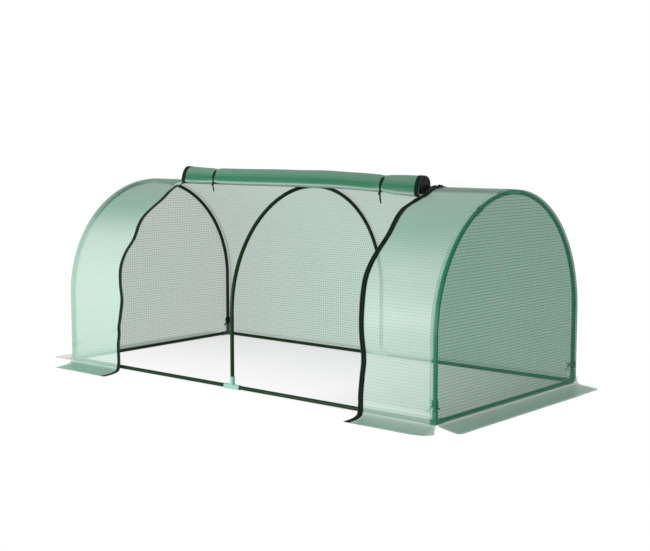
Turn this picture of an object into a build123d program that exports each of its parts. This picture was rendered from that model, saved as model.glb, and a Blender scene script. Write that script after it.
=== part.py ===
"""Low polytunnel greenhouse: three bent-tube arches on a base frame, under a film cover with a rolled-up door.

X runs along the ridge, the door faces -Y and Z is up. The origin lies on the ground under the middle arch.
All lengths are in millimetres and all angles in degrees.
"""

import math
import os

from build123d import *

# Tube frame
FRAME_LENGTH = 2000.0  # over the outer faces of the two end arches
FRAME_WIDTH = 1000.0  # over the outer faces of the arch legs
LEG_HEIGHT = 300.0  # straight leg of an arch, above the axis of the base rails
TUBE_DIA = 16.0
TUBE_WALL = 0.8
CROWN_ANGLE = 5.0  # slope of the straight tube ends at the ridge

# Moulded connectors
SOCKET_DIA = 20.0  # outside of a sleeve
SOCKET_CLEARANCE = 0.2  # between a tube and its bore
SOCKET_STOP = 12.0  # from a connector's centre to the end of a seated tube
SOCKET_REACH = 42.0  # from a connector's centre to the mouth of a sleeve
MOUTH_CHAMFER = 0.6

# Film cover
FILM = 1.5
FILM_CLEARANCE = 0.3  # between the film and the connectors under it
FLAP_WIDTH = 130.0  # ground flap, out from the wall
FLAP_LEAN = 60.0  # how far the hem of a flap lies sideways of its wall
WALL_COVE = 48.0  # bend from a long wall into its ground flap
END_COVE = 28.0  # bend from an end wall into its ground flap

# Zips beside the doorway
PANEL_WIDTH = 325.0  # front panel, from the face of its end arch to the middle of its zip
ZIP_TAPE = 22.0  # tape along the edge of a front panel
DOOR_TAPE = 19.0  # tape along the edge of the door
DOOR_CLEARANCE = 3.0  # between the two tapes of an open zip
ZIP_WAVE = 17.0  # largest sideways wander of a hanging zip
# Height up the film wall, and sideways wander, of each zip
LEFT_ZIP_SHARES = ((0, -0.5), (0.2, -0.2), (0.34, 0.6), (0.54, -0.9), (0.66, 0.7), (0.79, -0.4), (0.9, 1), (1, 0))
RIGHT_ZIP_SHARES = ((0, -0.6), (0.2, 0.1), (0.34, -0.3), (0.5, -1), (0.64, -0.9), (0.8, 1), (0.9, 0.6), (1, 0))

# Rolled-up door
ROLL_RADIUS = 36.0
ROLL_CORE = 10.0  # open space left at the middle of the roll
ROLL_PITCH = 3.0  # from one turn to the next
ROLL_ANGLE = 11.3  # place of the roll on the arch, forward of the ridge

# Zip sliders
SLIDER_LENGTH = 18.0
SLIDER_WIDTH = 12.0
SLIDER_HEIGHT = 6.0
SLIDER_ROUND = 3.0
SLIDER_SEAT = 0.2  # between a slider and its tape
SLIDER_ANGLE = 13.5  # place on the arch, forward of the ridge
GROOVE_LENGTH = 9.0
GROOVE_HEIGHT = 1.5
PULL_LENGTH = 34.0
PULL_WIDTH = 8.0
PULL_THICKNESS = 2.0
PULL_ROUND = 2.5

# Tie tapes
TAPE_WIDTH = 7.0
TAPE_THICKNESS = 1.2
TIE_CLEARANCE = 0.5  # between a tape and what it is tied round
TIE_HEIGHT = 64.0  # of the ties on the corner legs
CROWN_TIE_ANGLE = 27.0  # place of the upper ties on the end arches, forward of the ridge
KNOT_RADIUS = 5.0
KNOT_LENGTH = 9.0
KNOT_CHAMFER = 1.5
TIE_TAIL = 36.0
TIE_TAIL_ANGLE = 32.0
BOW_LENGTH = 20.0
BOW_HEIGHT = 9.0
BOW_ANGLE = 25.0  # rise of a bow beside its knot
ROLL_TIE_INSET = 210.0  # from a zip to the tie beside it
ROLL_TIE_GAP_ANGLE = 60.0  # part of the roll's girth, towards the film, without tape
ROLL_TAIL = 52.0

OVERRUN = 40.0  # how far a cutter reaches past what it cuts

# Worked out from the sizes above
TUBE_RADIUS = TUBE_DIA / 2
SOCKET_RADIUS = SOCKET_DIA / 2
BASE_Z = SOCKET_RADIUS  # axis of the base rails, with the connectors standing on the ground
ARCH_X = FRAME_LENGTH / 2 - TUBE_RADIUS  # axis plane of an end arch
ARCH_RADIUS = FRAME_WIDTH / 2 - TUBE_RADIUS  # of the bent tube's axis, which is also half the leg spacing
SPRING_Z = BASE_Z + LEG_HEIGHT  # where a leg turns into the arch
CROWN = math.radians(CROWN_ANGLE)
RIDGE_Z = SPRING_Z + ARCH_RADIUS / math.cos(CROWN)
FILM_IN = SOCKET_RADIUS + FILM_CLEARANCE  # from a tube's axis to the inner face of the film
FILM_OUT = FILM_IN + FILM
WALL_IN, WALL_OUT = ARCH_RADIUS + FILM_IN, ARCH_RADIUS + FILM_OUT
END_IN, END_OUT = ARCH_X + FILM_IN, ARCH_X + FILM_OUT
WALL_FOOT = FILM + WALL_COVE  # height at which a long wall starts to bend outward
COVER_TOP = SPRING_Z + WALL_OUT / math.cos(CROWN)
DOOR_WIDTH = FRAME_LENGTH - 2 * PANEL_WIDTH  # between the middles of the two zips
DOOR_EDGE = (DOOR_WIDTH - ZIP_TAPE) / 2 - DOOR_CLEARANCE  # outer edge of the door's own tapes
DOOR_FILM_EDGE = DOOR_EDGE - DOOR_TAPE


# Tubes
def tube_section():
    return Circle(TUBE_RADIUS) - Circle(TUBE_RADIUS - TUBE_WALL)


def straight_tube(start, end):
    """Frame tube between two points."""
    run = Vector(*end) - Vector(*start)
    return extrude(Plane(origin=start, z_dir=run) * tube_section(), run.length)


def arch_half(x, side):
    """Front (-1) or back (+1) half of an arch: a leg, a bend and a short straight end at the ridge."""
    turn = (math.pi / 2 - CROWN) / 2
    foot = Vector(x, side * ARCH_RADIUS, BASE_Z + SOCKET_STOP)
    spring = Vector(x, side * ARCH_RADIUS, SPRING_Z)
    bulge = Vector(x, side * ARCH_RADIUS * math.cos(turn), SPRING_Z + ARCH_RADIUS * math.sin(turn))
    bend_end = Vector(x, side * ARCH_RADIUS * math.sin(CROWN), SPRING_Z + ARCH_RADIUS * math.cos(CROWN))
    ridge = Vector(x, 0, RIDGE_Z)
    tip = ridge + (bend_end - ridge).normalized() * SOCKET_STOP
    path = Wire([
        Edge.make_line(foot, spring),
        Edge.make_three_point_arc(spring, bulge, bend_end),
        Edge.make_line(bend_end, tip),
    ])
    return sweep(Plane(origin=foot, z_dir=(0, 0, 1)) * tube_section(), path)


# Connectors
def connector(centre, directions):
    """Round hub with a blind socket along each direction."""
    body = Pos(*centre) * Sphere(SOCKET_RADIUS)
    bores = []
    for direction in directions:
        axis = Plane(origin=centre, z_dir=direction)
        sleeve = extrude(axis * Circle(SOCKET_RADIUS), SOCKET_REACH)
        mouth = sleeve.edges().filter_by(GeomType.CIRCLE).sort_by_distance(centre)[-1]
        body += chamfer(mouth, MOUTH_CHAMFER)
        bore = Circle(TUBE_RADIUS + SOCKET_CLEARANCE)
        bores.append(extrude(axis.offset(SOCKET_STOP) * bore, SOCKET_REACH))
    for bore in bores:
        body -= bore
    return body


def corner_connector(x_side, y_side):
    """Three-way corner for two base rails and a leg."""
    centre = (x_side * ARCH_X, y_side * ARCH_RADIUS, BASE_Z)
    return connector(centre, [(-x_side, 0, 0), (0, -y_side, 0), (0, 0, 1)])


def middle_tee(y_side):
    """Three-way piece for two base rails and a leg of the middle arch."""
    return connector((0, y_side * ARCH_RADIUS, BASE_Z), [(-1, 0, 0), (1, 0, 0), (0, 0, 1)])


def ridge_connector(x, rail_ways):
    """Crown piece with two sloping sockets for an arch and a level one for each ridge rail."""
    slopes = [(0, side * math.cos(CROWN), -math.sin(CROWN)) for side in (-1, 1)]
    return connector((x, 0, RIDGE_Z), slopes + [(way, 0, 0) for way in rail_ways])


# Film walls
def along_x(section, x_from, x_to):
    """A section of the YZ plane, drawn out along the tunnel."""
    return extrude(Plane.YZ.offset(x_from) * section, x_to - x_from)


def flat(point):
    return point.X, point.Y


def on_arch(angle, radius):
    """Point of the YZ plane at an angle forward of the ridge."""
    turn = math.radians(angle)
    return Vector(-radius * math.sin(turn), SPRING_Z + radius * math.cos(turn))


def arch_line(offset, side):
    """Arch at an offset from its tube's axis, from the ridge down to the spring line, in the YZ plane."""
    radius = ARCH_RADIUS + offset
    ridge = (0, SPRING_Z + radius / math.cos(CROWN))
    tangent, bulge, spring = [
        (-side * point.X, point.Y)
        for point in [on_arch(angle, radius) for angle in (CROWN_ANGLE, (CROWN_ANGLE + 90) / 2, 90)]
    ]
    return [Line(ridge, tangent), ThreePointArc(tangent, bulge, spring)]


def wall_section(side):
    """Long wall and its half of the roof, above the bend at its foot."""
    inner, outer = arch_line(FILM_IN, side), arch_line(FILM_OUT, side)
    legs = Polyline(inner[-1] @ 1, (side * WALL_IN, WALL_FOOT), (side * WALL_OUT, WALL_FOOT), outer[-1] @ 1)
    return make_face([*inner, *outer, legs, Line(inner[0] @ 0, outer[0] @ 0)])


def flap_section(wall_in, wall_out, cove, side):
    """Bend at the foot of a wall and the flap that lies on the ground."""
    centre = Vector(side * (wall_out + cove), FILM + cove)
    toward = Vector(-side, -1).normalized()
    hem = side * (wall_out + FLAP_WIDTH)
    inner_top, under = (side * wall_in, centre.Y), (centre.X, 0)
    outer_top, upper = (side * wall_out, centre.Y), (centre.X, FILM)
    return make_face([
        ThreePointArc(inner_top, flat(centre + toward * (cove + FILM)), under),
        Polyline(under, (hem, 0), (hem, FILM), upper),
        ThreePointArc(upper, flat(centre + toward * cove), outer_top),
        Line(outer_top, inner_top),
    ])


def flap_outline(start, end, wall_in, wall_out, side, lean):
    """Plan of a flap between two places along its wall: its hem lies sideways by lean."""
    hem = side * (wall_out + FLAP_WIDTH)
    return [
        (start, side * wall_in), (end, side * wall_in), (end, side * wall_out),
        (end + lean, hem), (start + lean, hem), (start, side * wall_out),
    ]


def cut_flap(flap, outline):
    plan = make_face(Polyline(*outline, close=True))
    return flap & extrude(plan, WALL_FOOT + OVERRUN)


def long_flap(start, end, side):
    """Ground flap of a long wall."""
    strip = along_x(flap_section(WALL_IN, WALL_OUT, WALL_COVE, side), -END_OUT - FLAP_WIDTH, END_OUT + FLAP_WIDTH)
    return cut_flap(strip, flap_outline(start, end, WALL_IN, WALL_OUT, side, -side * FLAP_LEAN))


def back_sheet():
    """Back wall with its half of the roof and its flap, in one piece."""
    return along_x(wall_section(1), -END_IN, END_IN) + long_flap(-END_IN, END_IN, 1)


def end_panel(side):
    """Flat end wall with its flap, in one piece."""
    foot = FILM + END_COVE
    arches = [edge for way in (-1, 1) for edge in arch_line(FILM_OUT, way)]
    legs = Polyline(arches[1] @ 1, (-WALL_OUT, foot), (WALL_OUT, foot), arches[-1] @ 1)
    wall = along_x(make_face([*arches, legs]), side * END_IN, side * END_OUT)
    reach = WALL_OUT + FLAP_WIDTH
    strip = extrude(Plane.XZ.offset(-reach) * flap_section(END_IN, END_OUT, END_COVE, side), 2 * reach)
    outline = flap_outline(-WALL_OUT, WALL_OUT, END_IN, END_OUT, side, -side * FLAP_LEAN)
    return wall + cut_flap(strip, [(x, y) for y, x in outline])


# Front panels and zips
def zip_line(side, shift):
    """Line of a zip in the front view, moved outward from its middle by shift."""
    shares = LEFT_ZIP_SHARES if side < 0 else RIGHT_ZIP_SHARES
    middle = side * (DOOR_WIDTH / 2 + shift)
    points = [(middle + wave * ZIP_WAVE, WALL_FOOT + up * (COVER_TOP - WALL_FOOT)) for up, wave in shares]
    return Spline(*points, tangents=((0, 1), (0, 1)))


def front_film(edges, start, end):
    """Front film inside an outline of the front view, with the flap under it."""
    mask = extrude(Plane.XZ * make_face(edges), WALL_OUT + OVERRUN)
    wall = along_x(wall_section(-1), -END_IN, END_IN) & mask
    return wall + long_flap(start, end, -1)


def front_panel(side):
    """Front film between an end arch and the zip beside it."""
    edge = zip_line(side, ZIP_TAPE / 2)
    border = Polyline(edge @ 0, (side * END_IN, WALL_FOOT), (side * END_IN, COVER_TOP), edge @ 1)
    return front_film([edge, border], (edge @ 0).X, side * END_IN)


def panel_zip(side):
    """Zip tape along the free edge of a front panel."""
    outer, inner = zip_line(side, ZIP_TAPE / 2), zip_line(side, -ZIP_TAPE / 2)
    ends = [Line(outer @ place, inner @ place) for place in (0, 1)]
    return front_film([outer, inner, *ends], (outer @ 0).X, (inner @ 0).X)


def zip_slider(side):
    """Slider with its pull, at the top of an open zip."""
    spot = on_arch(SLIDER_ANGLE, WALL_OUT + SLIDER_SEAT)
    outward = spot - Vector(0, SPRING_Z)
    seat = Plane(origin=(side * DOOR_WIDTH / 2, *flat(spot)), x_dir=(1, 0, 0), z_dir=(0, *flat(outward)))
    standing = (Align.CENTER, Align.CENTER, Align.MIN)
    body = Box(SLIDER_WIDTH, SLIDER_LENGTH, SLIDER_HEIGHT, align=standing)
    body = fillet(body.edges().filter_by(Axis.Z), SLIDER_ROUND)
    middle = (SLIDER_HEIGHT - GROOVE_HEIGHT) / 2
    body -= Pos(0, 0, middle) * Box(SLIDER_WIDTH + OVERRUN, GROOVE_LENGTH, GROOVE_HEIGHT, align=standing)
    pull = Box(PULL_WIDTH, PULL_LENGTH, PULL_THICKNESS, align=(Align.CENTER, Align.MAX, Align.MIN))
    pull = fillet(pull.edges().filter_by(Axis.Z), PULL_ROUND)
    return seat * (body + Pos(0, -GROOVE_LENGTH / 2, middle) * pull)


# Rolled-up door
def roll_frame():
    """Centre of the roll in the YZ plane, with the directions away from the arch and down the front."""
    centre = on_arch(ROLL_ANGLE, WALL_IN + ROLL_RADIUS)
    up = (centre - Vector(0, SPRING_Z)).normalized()
    return centre, up, Vector(-up.Y, up.X)


def spiral_line(inset):
    """One face of the wound film, as half turns that run inward from the foot of the roll."""
    centre, up, front = roll_frame()
    edges = []
    for turn in range(int((ROLL_RADIUS - ROLL_CORE) / (ROLL_PITCH / 2))):
        radius = ROLL_RADIUS - turn * ROLL_PITCH / 2 - inset
        middle, way = (centre + up * ROLL_PITCH / 2, -1) if turn % 2 else (centre, 1)
        stops = [middle + direction * radius * way for direction in (-up, front, up)]
        edges.append(ThreePointArc(*[flat(stop) for stop in stops]))
    return edges


def lip_line(offset):
    """One face of the door film between the ridge and the foot of the roll."""
    ridge_line = arch_line(offset, -1)[0]
    bulge, foot = [on_arch(a, ARCH_RADIUS + offset) for a in ((CROWN_ANGLE + ROLL_ANGLE) / 2, ROLL_ANGLE)]
    return [ridge_line, ThreePointArc(ridge_line @ 1, flat(bulge), flat(foot))]


def door_section():
    """Door film from the ridge to its wound-up end, in the YZ plane."""
    under, over = lip_line(FILM_IN) + spiral_line(0), lip_line(FILM_OUT) + spiral_line(FILM)
    ends = [Line(under[0] @ 0, over[0] @ 0), Line(under[-1] @ 1, over[-1] @ 1)]
    return make_face([*under, *over, *ends])


# Ties
def knot():
    """Barrel-shaped knot along X."""
    barrel = Cylinder(KNOT_RADIUS, KNOT_LENGTH, rotation=(0, 90, 0))
    return chamfer(barrel.edges().filter_by(GeomType.CIRCLE), KNOT_CHAMFER)


def bow_knot():
    """Knot across X with two bows of tape beside it and two hanging tails."""
    tie = Rot(0, 0, 90) * knot()
    loop = SlotOverall(BOW_LENGTH, BOW_HEIGHT)
    loop -= SlotOverall(BOW_LENGTH - 2 * TAPE_THICKNESS, BOW_HEIGHT - 2 * TAPE_THICKNESS)
    bow = extrude(Plane.YZ * loop, TAPE_WIDTH / 2, both=True)
    tail = Box(TAPE_THICKNESS, TAPE_WIDTH, TIE_TAIL, align=(Align.CENTER, Align.CENTER, Align.MAX))
    for way in (-1, 1):
        tie += Rot(way * BOW_ANGLE, 0, 0) * Pos(0, way * BOW_LENGTH / 2, 0) * bow
        tie += Rot(way * TIE_TAIL_ANGLE, 0, 0) * tail
    return tie


def tube_tie(place):
    """Tape tied round a tube: the plane's Z runs up the tube and its X points at the knot."""
    inner = TUBE_RADIUS + TIE_CLEARANCE
    band = Cylinder(inner + TAPE_THICKNESS, TAPE_WIDTH) + Pos(inner + KNOT_RADIUS, 0, 0) * bow_knot()
    return place * (band - Cylinder(inner, 2 * TIE_TAIL))


def leg_tie(x_side, y_side):
    """Tie on a corner leg, knotted on the inside."""
    origin = (x_side * ARCH_X, y_side * ARCH_RADIUS, TIE_HEIGHT)
    return tube_tie(Plane(origin=origin, x_dir=(-x_side, -y_side, 0), z_dir=(0, 0, 1)))


def crown_tie(side):
    """Tie on the front half of an end arch, knotted on the inside."""
    spot = on_arch(CROWN_TIE_ANGLE, ARCH_RADIUS)
    turn = math.radians(CROWN_TIE_ANGLE)
    inward, along = (-side, math.sin(turn), -math.cos(turn)), (0, math.cos(turn), math.sin(turn))
    return tube_tie(Plane(origin=(side * ARCH_X, *flat(spot)), x_dir=inward, z_dir=along))


def roll_tie(side):
    """Tape over the roll, knotted low on its front, with one hanging tail."""
    centre, up, front = roll_frame()
    x = side * (DOOR_WIDTH / 2 - ROLL_TIE_INSET)
    inner = ROLL_RADIUS + TIE_CLEARANCE
    outer = inner + TAPE_THICKNESS
    start, sweep_angle = ROLL_TIE_GAP_ANGLE / 2, 360 - ROLL_TIE_GAP_ANGLE
    inside, outside = [CenterArc((0, 0), radius, start, sweep_angle) for radius in (inner, outer)]
    section = make_face([inside, outside, *[Line(inside @ place, outside @ place) for place in (0, 1)]])
    ring = Plane(origin=(x, *flat(centre)), x_dir=(0, *flat(-up)), z_dir=(1, 0, 0))
    band = extrude(ring * section, TAPE_WIDTH / 2, both=True)
    turn = math.radians(start)
    low_front = front * math.sin(turn) - up * math.cos(turn)
    spot = Pos(x, *flat(centre + low_front * (inner + KNOT_RADIUS)))
    tail = Box(TAPE_WIDTH, TAPE_THICKNESS, ROLL_TAIL, align=(Align.CENTER, Align.CENTER, Align.MAX))
    roll = extrude(ring * Circle(inner), KNOT_LENGTH, both=True)
    return band + spot * (knot() + tail) - roll


def build_parts():
    """All pieces of the tunnel, by name."""
    parts = {}
    columns, rows = {"left": -1, "right": 1}, {"front": -1, "back": 1}
    for column, x in {"left": -ARCH_X, "middle": 0, "right": ARCH_X}.items():
        for row, y_side in rows.items():
            parts[f"{column}_arch_{row}_half"] = arch_half(x, y_side)
    for column, x_side in columns.items():
        ends = (x_side * SOCKET_STOP, x_side * (ARCH_X - SOCKET_STOP))
        for row, y_side in rows.items():
            y = y_side * ARCH_RADIUS
            parts[f"{row}_{column}_base_rail"] = straight_tube(*[(x, y, BASE_Z) for x in ends])
            parts[f"{row}_{column}_corner_joint"] = corner_connector(x_side, y_side)
            parts[f"{row}_{column}_leg_tie"] = leg_tie(x_side, y_side)
        parts[f"{column}_ridge_rail"] = straight_tube(*[(x, 0, RIDGE_Z) for x in ends])
        cross = ARCH_RADIUS - SOCKET_STOP
        parts[f"{column}_end_rail"] = straight_tube(*[(x_side * ARCH_X, y, BASE_Z) for y in (-cross, cross)])
        parts[f"{column}_ridge_tee"] = ridge_connector(x_side * ARCH_X, [-x_side])
        parts[f"{column}_end_panel"] = end_panel(x_side)
        parts[f"front_{column}_panel"] = front_panel(x_side)
        parts[f"{column}_zip"] = panel_zip(x_side)
        parts[f"{column}_zip_slider"] = zip_slider(x_side)
        parts[f"{column}_crown_tie"] = crown_tie(x_side)
        parts[f"{column}_roll_tie"] = roll_tie(x_side)
        parts[f"{column}_door_zip"] = along_x(door_section(), x_side * DOOR_FILM_EDGE, x_side * DOOR_EDGE)
    for row, y_side in rows.items():
        parts[f"{row}_middle_tee"] = middle_tee(y_side)
    parts["middle_ridge_cross"] = ridge_connector(0, [-1, 1])
    parts["back_sheet"] = back_sheet()
    parts["rolled_door"] = along_x(door_section(), -DOOR_FILM_EDGE, DOOR_FILM_EDGE)
    return parts


os.makedirs("parts", exist_ok=True)
for name, shape in build_parts().items():
    export_step(shape, f"parts/{name}.step")
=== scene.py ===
"""Looks of a low polytunnel greenhouse: woven film, zips and tie tapes on a frame of enamelled tubes.

Lengths are in metres and angles in radians. X runs along the ridge, the door faces -Y and Z is up.
"""
import math

import bmesh
import bpy
from mathutils import Matrix, Vector, noise


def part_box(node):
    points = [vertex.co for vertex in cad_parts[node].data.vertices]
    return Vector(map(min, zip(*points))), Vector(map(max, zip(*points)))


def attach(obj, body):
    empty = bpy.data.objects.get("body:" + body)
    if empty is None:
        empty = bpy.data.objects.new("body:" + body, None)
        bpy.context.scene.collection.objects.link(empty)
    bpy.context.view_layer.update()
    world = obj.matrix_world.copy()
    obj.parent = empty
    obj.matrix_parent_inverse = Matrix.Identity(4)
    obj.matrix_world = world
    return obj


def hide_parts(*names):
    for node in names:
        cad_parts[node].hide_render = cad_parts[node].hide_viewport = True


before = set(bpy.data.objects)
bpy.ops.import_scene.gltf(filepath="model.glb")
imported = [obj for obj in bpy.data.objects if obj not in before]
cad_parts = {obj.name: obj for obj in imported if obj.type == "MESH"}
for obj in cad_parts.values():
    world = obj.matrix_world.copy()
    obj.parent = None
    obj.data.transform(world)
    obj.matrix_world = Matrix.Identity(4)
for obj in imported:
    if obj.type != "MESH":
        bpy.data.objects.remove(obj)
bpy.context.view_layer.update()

SIDES = {"left": -1, "right": 1}
ROWS = {"front": -1, "back": 1}

# Sizes read from the frame
TUBE_LOW, TUBE_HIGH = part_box("right_arch_front_half")
TUBE_RADIUS = (TUBE_HIGH.x - TUBE_LOW.x) / 2
ARCH_X = (TUBE_HIGH.x + TUBE_LOW.x) / 2  # axis plane of an end arch
ARCH_RADIUS = -TUBE_LOW.y - TUBE_RADIUS
RAIL_LOW, RAIL_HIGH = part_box("right_ridge_rail")
RIDGE_Z = (RAIL_LOW.z + RAIL_HIGH.z) / 2
END_LOW, END_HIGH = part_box("right_end_panel")
WALL_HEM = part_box("back_sheet")[1].y
DOOR_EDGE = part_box("right_door_zip")[1].x

# Film
FILM = 0.0015  # thickness that the frame leaves for the film
LIE = 0.001  # height of the film where it lies on the ground
CROWN_SLOPE = math.radians(5)
WALL_COVE = 0.0487  # bend from a long wall into its flap
END_COVE = 0.0287  # bend from an end wall into its flap
FLAP_LEAN = 0.06  # how far a hem lies sideways of its wall
END_LEAN = {-1: 0, 1: FLAP_LEAN}  # that of an end flap by side
FRONT_LEAN = {-1: 0.076, 1: FLAP_LEAN}  # that of a front flap by side
FLAP_CORNER = 0.022  # rounding of an end flap's corner
FLAP_BULGE = {-1: 0.006, 1: 0.03}  # by side, spread of a front flap's outer end beyond its panel
BULGE_SHARES = (
    (0, 0), (0.4, 0), (0.7, 0.5), (0.84, 0.1), (0.93, -0.6), (1, -1.9),
)  # share of the flap's width, share of that spread
FRONT_SPARE = 0.03  # extra length of the front flaps, which are smoothed out over the ground
END_SPARE = 0.01  # that of the end flaps
CELL = 0.013  # size of a film facet
SLACK = 0.0045  # depth of the soft waves in the film
RIDGE_HOLD = {"front": 0.12, "back": 0.15, "end": 0.1}  # run from the ridge over which the slack grows
FOOT_FREE, FOOT_HELD = 0.12, 0.02  # heights from which a long wall is drawn in and at which it is nearly flat
END_FREE, END_HELD = 0.15, 0.01  # those of an end wall
LIFT = 0.0014  # height of the waves along a hem
CREASE_X, CREASE_Z = -0.86, 0.15  # a point of the slanting crease in the left front panel
CREASE_RISE = 0.2  # its rise for each metre along X
CREASE_DEPTH = 0.003
CREASE_WIDTH = 0.02
CREASE_HOLLOW = 0.035  # from the crease down to the hollow under it

# Zips beside the doorway
PANEL_WIDTH = 0.325  # from the face of an end arch to the middle of a zip
ZIP_WAVE = 0.031  # how far a zip wanders aside
ZIP_TAPE = {-1: 0.0175, 1: 0.022}  # width by side
ZIP_LAP = 0.006  # film under the edge of a zip's tape
TAPE_LIFT = 0.0011  # of a tape above the film that it is sewn to
TAPE_THICKNESS = 0.0008
TAPE_CURL = 0.0006  # rise of a tape's edges
LEFT_ZIP_SHARES = (
    (0, -0.16), (0.12, -0.08), (0.22, 0.22), (0.34, 0.69), (0.42, 0.33), (0.52, -0.11), (0.6, 0.16),
    (0.68, 0.85), (0.79, 0.3), (0.89, 1), (0.94, 0.55), (0.975, -0.08), (1, -0.1),
)  # share of the height, share of that wandering
RIGHT_ZIP_SHARES = (
    (0, -0.2), (0.1, -0.05), (0.2, 0.2), (0.33, -0.1), (0.57, -0.38),
    (0.68, -0.08), (0.79, 0.54), (0.9, 0.17), (0.96, 1), (1, 0.3),
)
RUFFLE = {-1: 0.0016, 1: 0.008}  # by side, how far a zip's free edge stands up near the ridge
RUFFLE_START, RUFFLE_FULL = 0.14, 0.08  # runs from the ridge at which it starts and is full
RUFFLE_FOLD, RUFFLE_FOLD_WIDTH = 0.2, 0.025  # run of a smaller fold below it
TOOTH_PITCH = 0.0028
TOOTH_SIZE = Vector((0.0036, 0.0017, 0.0024))

# Rolled-up door
ROLL_RADIUS = 0.036
ROLL_CORE = 0.004  # radius of the innermost turn
ROLL_PITCH = 0.0022  # from turn to turn
ROLL_ANGLE = math.radians(11.3)  # place on the arch, forward of the ridge
SLING = 0.0055  # how far the wound core lies up and back of the middle of its slack outer turn
SLACK_SHARES = (
    (0, 1), (0.062, 1.02), (0.117, 1.11), (0.151, 1.18), (0.176, 1.17), (0.215, 1.01),
    (0.275, 0.89), (0.35, 0.86), (0.43, 0.92), (0.5, 1), (1, 1),
)  # radius of the slack outer turn, which hangs forward and low: share of a turn, share of the radius
ROLL_SHEEN = (
    (0, 0.25), (0.1, 0.3), (0.13, 0.35), (0.155, 0.45), (0.175, 0.7), (0.19, 0.3), (0.205, 0),
    (0.26, 0), (0.32, 0.12), (0.4, 0.28), (0.5, 0.38), (0.6, 0.34), (1, 0.2),
)  # painted sheen on the outer turn, with a painted highlight low on its front and a paler top: share of a turn, share of the sheen
DOOR_TAPE = 0.019  # width of the zip tape along an edge of the door
STIFF_X = 0.5  # beyond which the zip tape stiffens the roll
ROLL_FLARE = {-1: 0.0025, 1: 0.0055}  # growth of the roll at its stiff ends, by side
ROLL_RISE = {-1: 0.003, 1: -0.019}  # rise of the roll at an end, by side
RISE_SPAN = {-1: (0.45, 0.68), 1: (0.12, 0.72)}  # distances from the middle over which it rises, by side
ROLL_LEAN = 0.008  # how far in the turns lie at the left end
TURN_LEAN = 0.0045  # and half of how much further in their tops lie
LOOSE_TURNS = 3  # how many outer turns are slack
ROLL_UNEVEN = 0.0012
ROLL_SWELL = 0.003  # of the slack turns outside the right tie
SWELL_X, SWELL_WIDTH = 0.56, 0.08
ROLL_PINCH = 0.0034  # squeeze under a tie
PINCH_WIDTH = 0.022
ROLL_TIE_X = {-1: -0.458, 1: 0.472}  # by side
OUTER_FACET = 0.0018  # length of a facet along the outer turn
INNER_FACET = 0.0042  # and along the turns inside it
LIP_STEPS = 14  # facets from the ridge to the roll

# Worked out from the sizes above
END_X = END_LOW.x + FILM / 2  # plane of an end panel
END_HEM = END_HIGH.x + END_SPARE
SKIN = END_X - ARCH_X  # from a tube's axis to the film over it
ARC = ARCH_RADIUS + SKIN  # radius of the film over an arch
SPRING_Z = RIDGE_Z - ARCH_RADIUS / math.cos(CROWN_SLOPE)
TOP_Z = SPRING_Z + ARC / math.cos(CROWN_SLOPE)
SLOPE_RUN = ARC * math.tan(CROWN_SLOPE)
BEND_RUN = ARC * (math.pi / 2 - CROWN_SLOPE)
ROOF_RUN = SLOPE_RUN + BEND_RUN
COVE_TOP = LIE + WALL_COVE
LEG_RUN = SPRING_Z - COVE_TOP
COVE_RUN = WALL_COVE * math.pi / 2
FLAP_RUN = WALL_HEM - ARC - WALL_COVE
FOOT_RUN = ROOF_RUN + LEG_RUN  # from the ridge to the start of the bend at the foot
WALL_RUN = FOOT_RUN + COVE_RUN + FLAP_RUN
FRONT_HEM = WALL_HEM + FRONT_SPARE
FRONT_RUN = WALL_RUN + FRONT_SPARE
END_LEG_RUN = SPRING_Z - LIE - END_COVE
END_RUN = ROOF_RUN + END_LEG_RUN + END_COVE * math.pi / 2 + END_HEM - END_X - END_COVE
ZIP_X = ARCH_X + TUBE_RADIUS - PANEL_WIDTH  # middle of a straight zip


# Small helpers
def mix(first, second, share):
    return first + (second - first) * share


def smooth(start, full, value):
    """Even change from 0 at one value to 1 at another, held beyond both."""
    share = min(max((value - start) / (full - start), 0), 1)
    return share * share * (3 - 2 * share)


def bump(value, middle, width):
    """Bell curve of height 1."""
    return math.exp(-(((value - middle) / width) ** 2))


def uneven(x, y, seed):
    """Smooth noise from about -1 to 1."""
    return noise.noise(Vector((x, y, seed)))


def place_object(name, data):
    """Object of a mesh, lamp or camera in the scene."""
    thing = bpy.data.objects.new(name, data)
    bpy.context.scene.collection.objects.link(thing)
    return thing


def mesh_object(name, mesh, material):
    """Object from a bmesh, which it uses up."""
    data = bpy.data.meshes.new(name)
    mesh.to_mesh(data)
    mesh.free()
    data.materials.append(material)
    return place_object(name, data)


def finish_piece(name, mesh, material, replaced=(), rounded=True):
    """Piece from a bmesh, smooth shaded where it is rounded, riding on the frame."""
    piece = mesh_object(name, mesh, material)
    piece.data.polygons.foreach_set("use_smooth", [rounded] * len(piece.data.polygons))
    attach(piece, "root")
    if replaced:
        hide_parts(*replaced)
    return piece


def thicken(piece, thickness):
    """Gives a tape its real thickness, half to each side."""
    solid = piece.modifiers.new("thickness", "SOLIDIFY")
    solid.thickness = thickness
    solid.offset = 0


def soften(piece):
    """Rounds a tape's bends by one subdivision."""
    rounding = piece.modifiers.new("softness", "SUBSURF")
    rounding.levels = 1
    rounding.render_levels = 1


# Shader helpers
def feed(tree, socket, value):
    if isinstance(value, bpy.types.NodeSocket):
        tree.links.new(value, socket)
    else:
        socket.default_value = value


def calc(tree, operation, *values):
    """Math node on sockets or numbers."""
    node = tree.nodes.new("ShaderNodeMath")
    node.operation = operation
    for socket, value in zip(node.inputs, values):
        feed(tree, socket, value)
    return node.outputs["Value"]


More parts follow.
